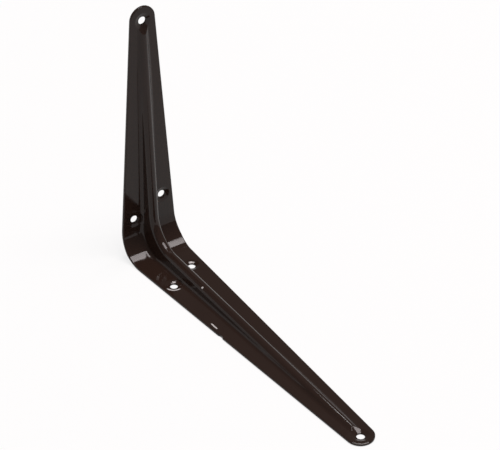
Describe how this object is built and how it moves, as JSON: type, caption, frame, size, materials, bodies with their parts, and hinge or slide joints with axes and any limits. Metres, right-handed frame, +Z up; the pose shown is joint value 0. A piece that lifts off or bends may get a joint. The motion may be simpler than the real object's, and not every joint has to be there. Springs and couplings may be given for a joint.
{
  "type": "shelf bracket",
  "caption": "Pressed steel L-shaped shelf bracket with tapered round-ended arms, a rib pressed through the bend, and dished screw holes; dark brown gloss paint.",
  "frame": {"origin": "middle of the bounding box, at the height of the long arm's outer face, which it rests on here", "axes": "+X along the long arm from the bend to its tip, +Z up the short arm, Y across the sheet; under a shelf the part is turned over, with one arm on the wall and the other under the board"},
  "size_m": [0.2, 0.0346, 0.15],
  "materials": {
    "paint": "gloss"
  },
  "bodies": {
    "root": {"bracket": "paint"}
  },
  "joints": []
}
